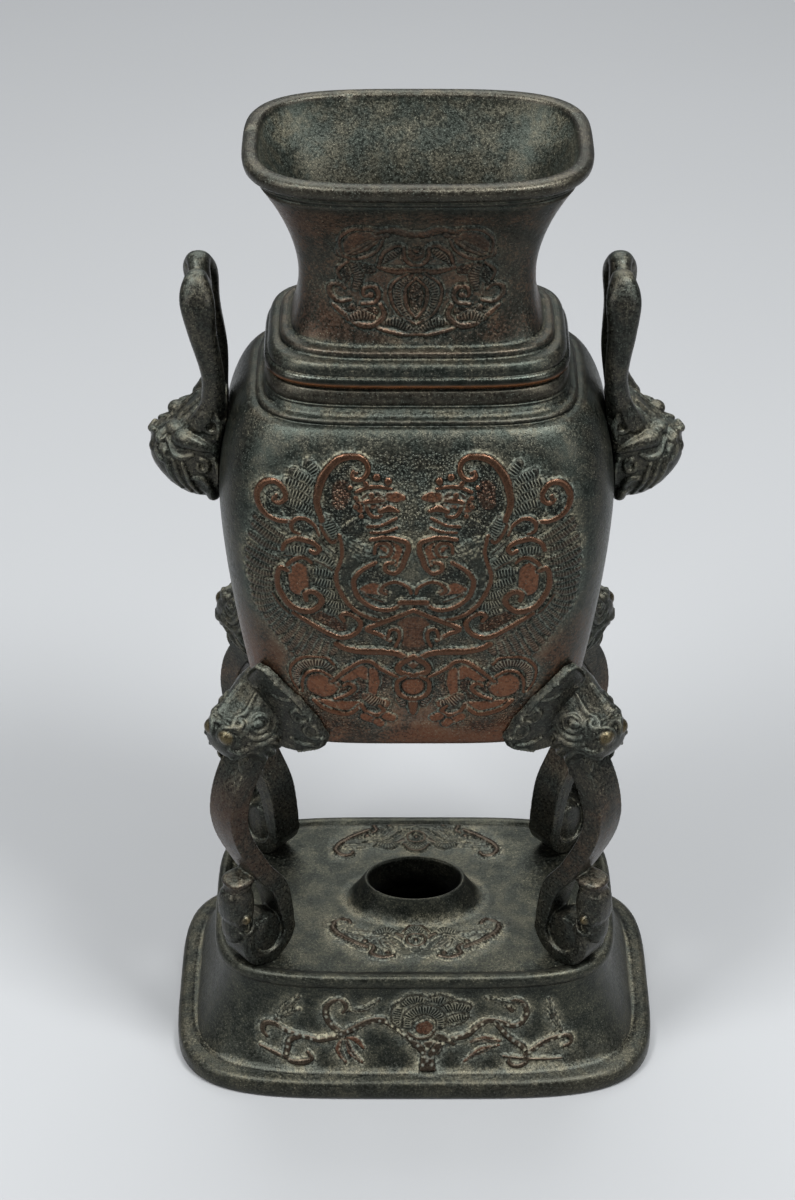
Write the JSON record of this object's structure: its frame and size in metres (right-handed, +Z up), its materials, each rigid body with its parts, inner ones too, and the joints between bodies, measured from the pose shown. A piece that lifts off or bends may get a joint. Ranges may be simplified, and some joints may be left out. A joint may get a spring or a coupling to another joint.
{
  "type": "bronze vase on legs and stand",
  "caption": "Flattened bronze vase with flared neck, two loop handles on beast masks, standing on beast-headed legs over an oblong hollow stand.",
  "frame": {"origin": "on the floor, under the middle of the vase and stand", "axes": "+X to the right along the wide side, +Y to the back, +Z up; the side with the main relief and neck ornament faces -Y"},
  "size_m": [0.1636, 0.1072, 0.33],
  "materials": {
    "brown_bronze": "cast bronze, red-brown patina rubbed on the high parts, worn satin",
    "dark_bronze": "cast bronze, green-black patina, satin",
    "green_bronze": "cast bronze, grey-green dusty patina, matt"
  },
  "bodies": {
    "root": {"vessel": "brown_bronze", "handle_left": "dark_bronze", "handle_right": "dark_bronze", "leg_front_left": "dark_bronze", "leg_front_right": "dark_bronze", "leg_back_left": "dark_bronze", "leg_back_right": "dark_bronze", "stand": "green_bronze"}
  },
  "joints": []
}
